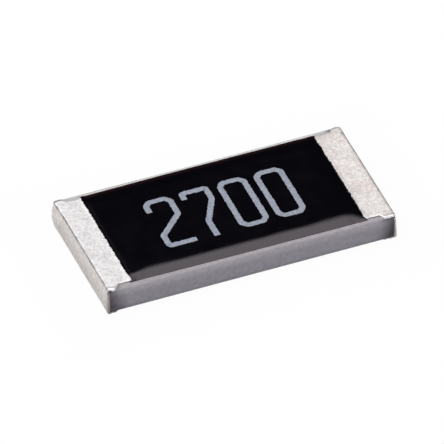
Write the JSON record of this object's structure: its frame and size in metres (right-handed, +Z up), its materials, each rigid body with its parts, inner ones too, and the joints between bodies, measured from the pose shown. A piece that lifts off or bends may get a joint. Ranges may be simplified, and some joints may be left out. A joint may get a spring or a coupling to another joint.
{
  "type": "smd chip resistor",
  "caption": "Flat ceramic chip resistor for surface mounting: a black-coated resistor film between plated solder terminations that wrap round its ends, with a plain printed number.",
  "frame": {"origin": "under the middle of the chip, on the plane that its terminations stand on", "axes": "+X along the chip's length, +Y across it towards its back long edge, +Z up through its thickness"},
  "size_m": [0.0064, 0.0032, 0.0007],
  "materials": {
    "alumina": "matte fired alumina, off-white",
    "silver_print": "fired silver print, satin",
    "resistor_film": "fired resistor film, dark grey",
    "glass": "fired overglaze, green tinted",
    "black_epoxy": "semi-gloss black epoxy",
    "end_metal": "dull end metal",
    "nickel": "dull plated nickel",
    "tin": "matte plated tin with a fine grain",
    "ink": "matte silver-grey ink"
  },
  "bodies": {
    "root": {"ceramic_substrate": "alumina", "top_electrode_left": "silver_print", "top_electrode_right": "silver_print", "back_electrode_left": "silver_print", "back_electrode_right": "silver_print", "resistor_film": "resistor_film", "glass_coat": "glass", "black_overcoat": "black_epoxy", "end_electrode_left": "end_metal", "end_electrode_right": "end_metal", "nickel_barrier_left": "nickel", "nickel_barrier_right": "nickel", "tin_plating_left": "tin", "tin_plating_right": "tin", "marking_digit_1": "ink", "marking_digit_2": "ink", "marking_digit_3": "ink", "marking_digit_4": "ink"}
  },
  "joints": []
}
